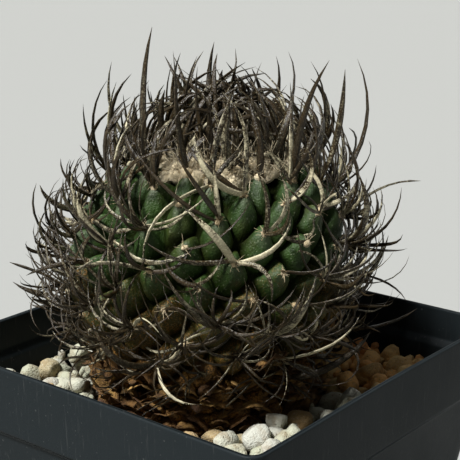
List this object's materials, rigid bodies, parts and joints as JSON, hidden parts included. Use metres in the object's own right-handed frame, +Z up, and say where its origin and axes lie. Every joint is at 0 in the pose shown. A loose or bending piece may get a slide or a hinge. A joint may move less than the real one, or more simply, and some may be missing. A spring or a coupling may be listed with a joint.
{
  "type": "potted round cactus",
  "caption": "Round ribless cactus with curved papery spines and a woolly crown, in a square tapered nursery pot topped with loose stones.",
  "frame": {"origin": "middle of the pot's footprint, on the surface it stands on", "axes": "+Z up out of the pot; X and Y along the sides of the square pot"},
  "size_m": [0.075, 0.075, 0.1235],
  "materials": {
    "black_plastic": "satin",
    "potting_mix": "matte",
    "gravel": "matte",
    "pumice": "matte",
    "fired_clay": "matte",
    "stem_skin": "satin",
    "wool": "matte",
    "spine": "matte"
  },
  "bodies": {
    "root": {"clay_stone_01": "fired_clay", "clay_stone_02": "fired_clay", "clay_stone_03": "fired_clay", "clay_stone_04": "fired_clay", "clay_stone_05": "fired_clay", "crown_wool": "wool", "gravel_bed": "gravel", "pot": "black_plastic", "potting_mix": "potting_mix", "pumice_stone_01": "pumice", "pumice_stone_02": "pumice", "pumice_stone_03": "pumice", "pumice_stone_04": "pumice", "pumice_stone_05": "pumice", "pumice_stone_06": "pumice", "pumice_stone_07": "pumice", "pumice_stone_08": "pumice", "pumice_stone_09": "pumice", "pumice_stone_10": "pumice", "pumice_stone_11": "pumice", "pumice_stone_12": "pumice", "pumice_stone_13": "pumice", "pumice_stone_14": "pumice", "pumice_stone_15": "pumice", "pumice_stone_16": "pumice", "pumice_stone_17": "pumice", "pumice_stone_18": "pumice", "pumice_stone_19": "pumice", "spine_01": "spine", "spine_02": "spine", "spine_03": "spine", "spine_04": "spine", "spine_05": "spine", "spine_06": "spine", "spine_07": "spine", "spine_08": "spine", "spine_09": "spine", "spine_10": "spine", "spine_11": "spine", "spine_12": "spine", "spine_13": "spine", "spine_14": "spine", "spine_15": "spine", "spine_16": "spine", "spine_17": "spine", "spine_18": "spine", "spine_19": "spine", "spine_20": "spine", "spine_21": "spine", "spine_22": "spine", "spine_23": "spine", "spine_24": "spine", "spine_25": "spine", "spine_26": "spine", "spine_27": "spine", "spine_28": "spine", "stem": "stem_skin"}
  },
  "joints": []
}
